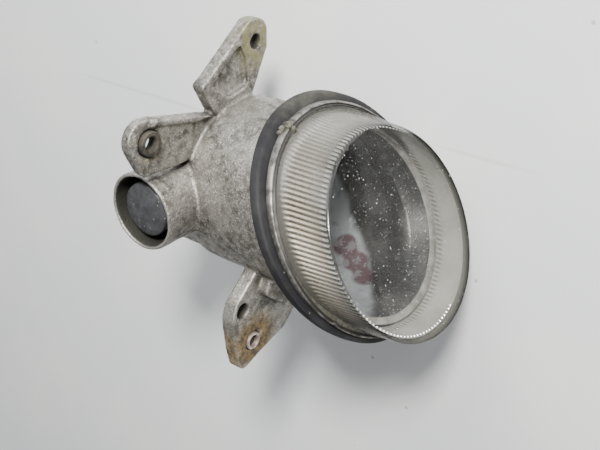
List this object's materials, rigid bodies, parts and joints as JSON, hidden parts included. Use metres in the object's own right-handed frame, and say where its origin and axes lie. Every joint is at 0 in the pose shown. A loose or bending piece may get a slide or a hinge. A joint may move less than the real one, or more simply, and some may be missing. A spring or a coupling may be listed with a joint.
{
  "type": "fog light",
  "caption": "Vehicle fog light: cast housing with three ears, slanted ribbed glass lens held by a ring, reflector, and a bulb in a side tube.",
  "frame": {"origin": "on the barrel axis, in the rear cover's outer face", "axes": "+Y along the barrel axis towards the rear, so the lens faces -Y; +Z along the side tube, out of its mouth; +X towards the edge of the flange that lies furthest back"},
  "size_m": [0.1309, 0.1394, 0.1107],
  "materials": {
    "cast_alloy": "rough as-cast, weathered",
    "dark_rubber": "matt",
    "ring_steel": "dull, stained",
    "sealant": "matt",
    "lens_glass": "ribbed wall, clear face, dusty",
    "mirror_coat": "bright coating, dusty",
    "holder_plastic": "matt",
    "clear_glass": "clear",
    "bulb_metal": "satin",
    "filament_wire": "satin",
    "contact_brass": "satin",
    "lead_red": "matt",
    "lead_black": "matt",
    "cover_plastic": "matt",
    "screw_steel": "satin",
    "rusty_steel": "rusty",
    "stud_steel": "worn"
  },
  "bodies": {
    "lamp": {"housing": "cast_alloy", "flange_gasket": "dark_rubber", "cover_seal": "dark_rubber", "retaining_ring": "ring_steel", "lens_sealant": "sealant", "lens": "lens_glass", "reflector": "mirror_coat", "connector_pin_1": "contact_brass", "connector_pin_2": "contact_brass", "lead_live": "lead_red", "lead_ground": "lead_black", "rear_cover": "cover_plastic", "connector_body": "cover_plastic", "cover_screw_1": "screw_steel", "cover_screw_2": "screw_steel", "cover_screw_3": "screw_steel", "reflector_screw_1": "screw_steel", "reflector_screw_2": "screw_steel", "ear_bushing": "rusty_steel", "lug_stud": "rusty_steel", "lug_insert": "stud_steel"},
    "bulb_unit": {"bulb_holder": "holder_plastic", "holder_seal": "dark_rubber", "bulb_base": "bulb_metal", "bulb_envelope": "clear_glass", "bulb_filament": "filament_wire", "contact_live": "contact_brass", "contact_ground": "contact_brass"}
  },
  "joints": [
    {"name": "holder_twist", "type": "hinge", "parent": "lamp", "child": "bulb_unit", "pos_m": [0, -0.0194, 0.0342], "axis": [0, 0, 1], "range_deg": [-45, 0]}
  ]
}
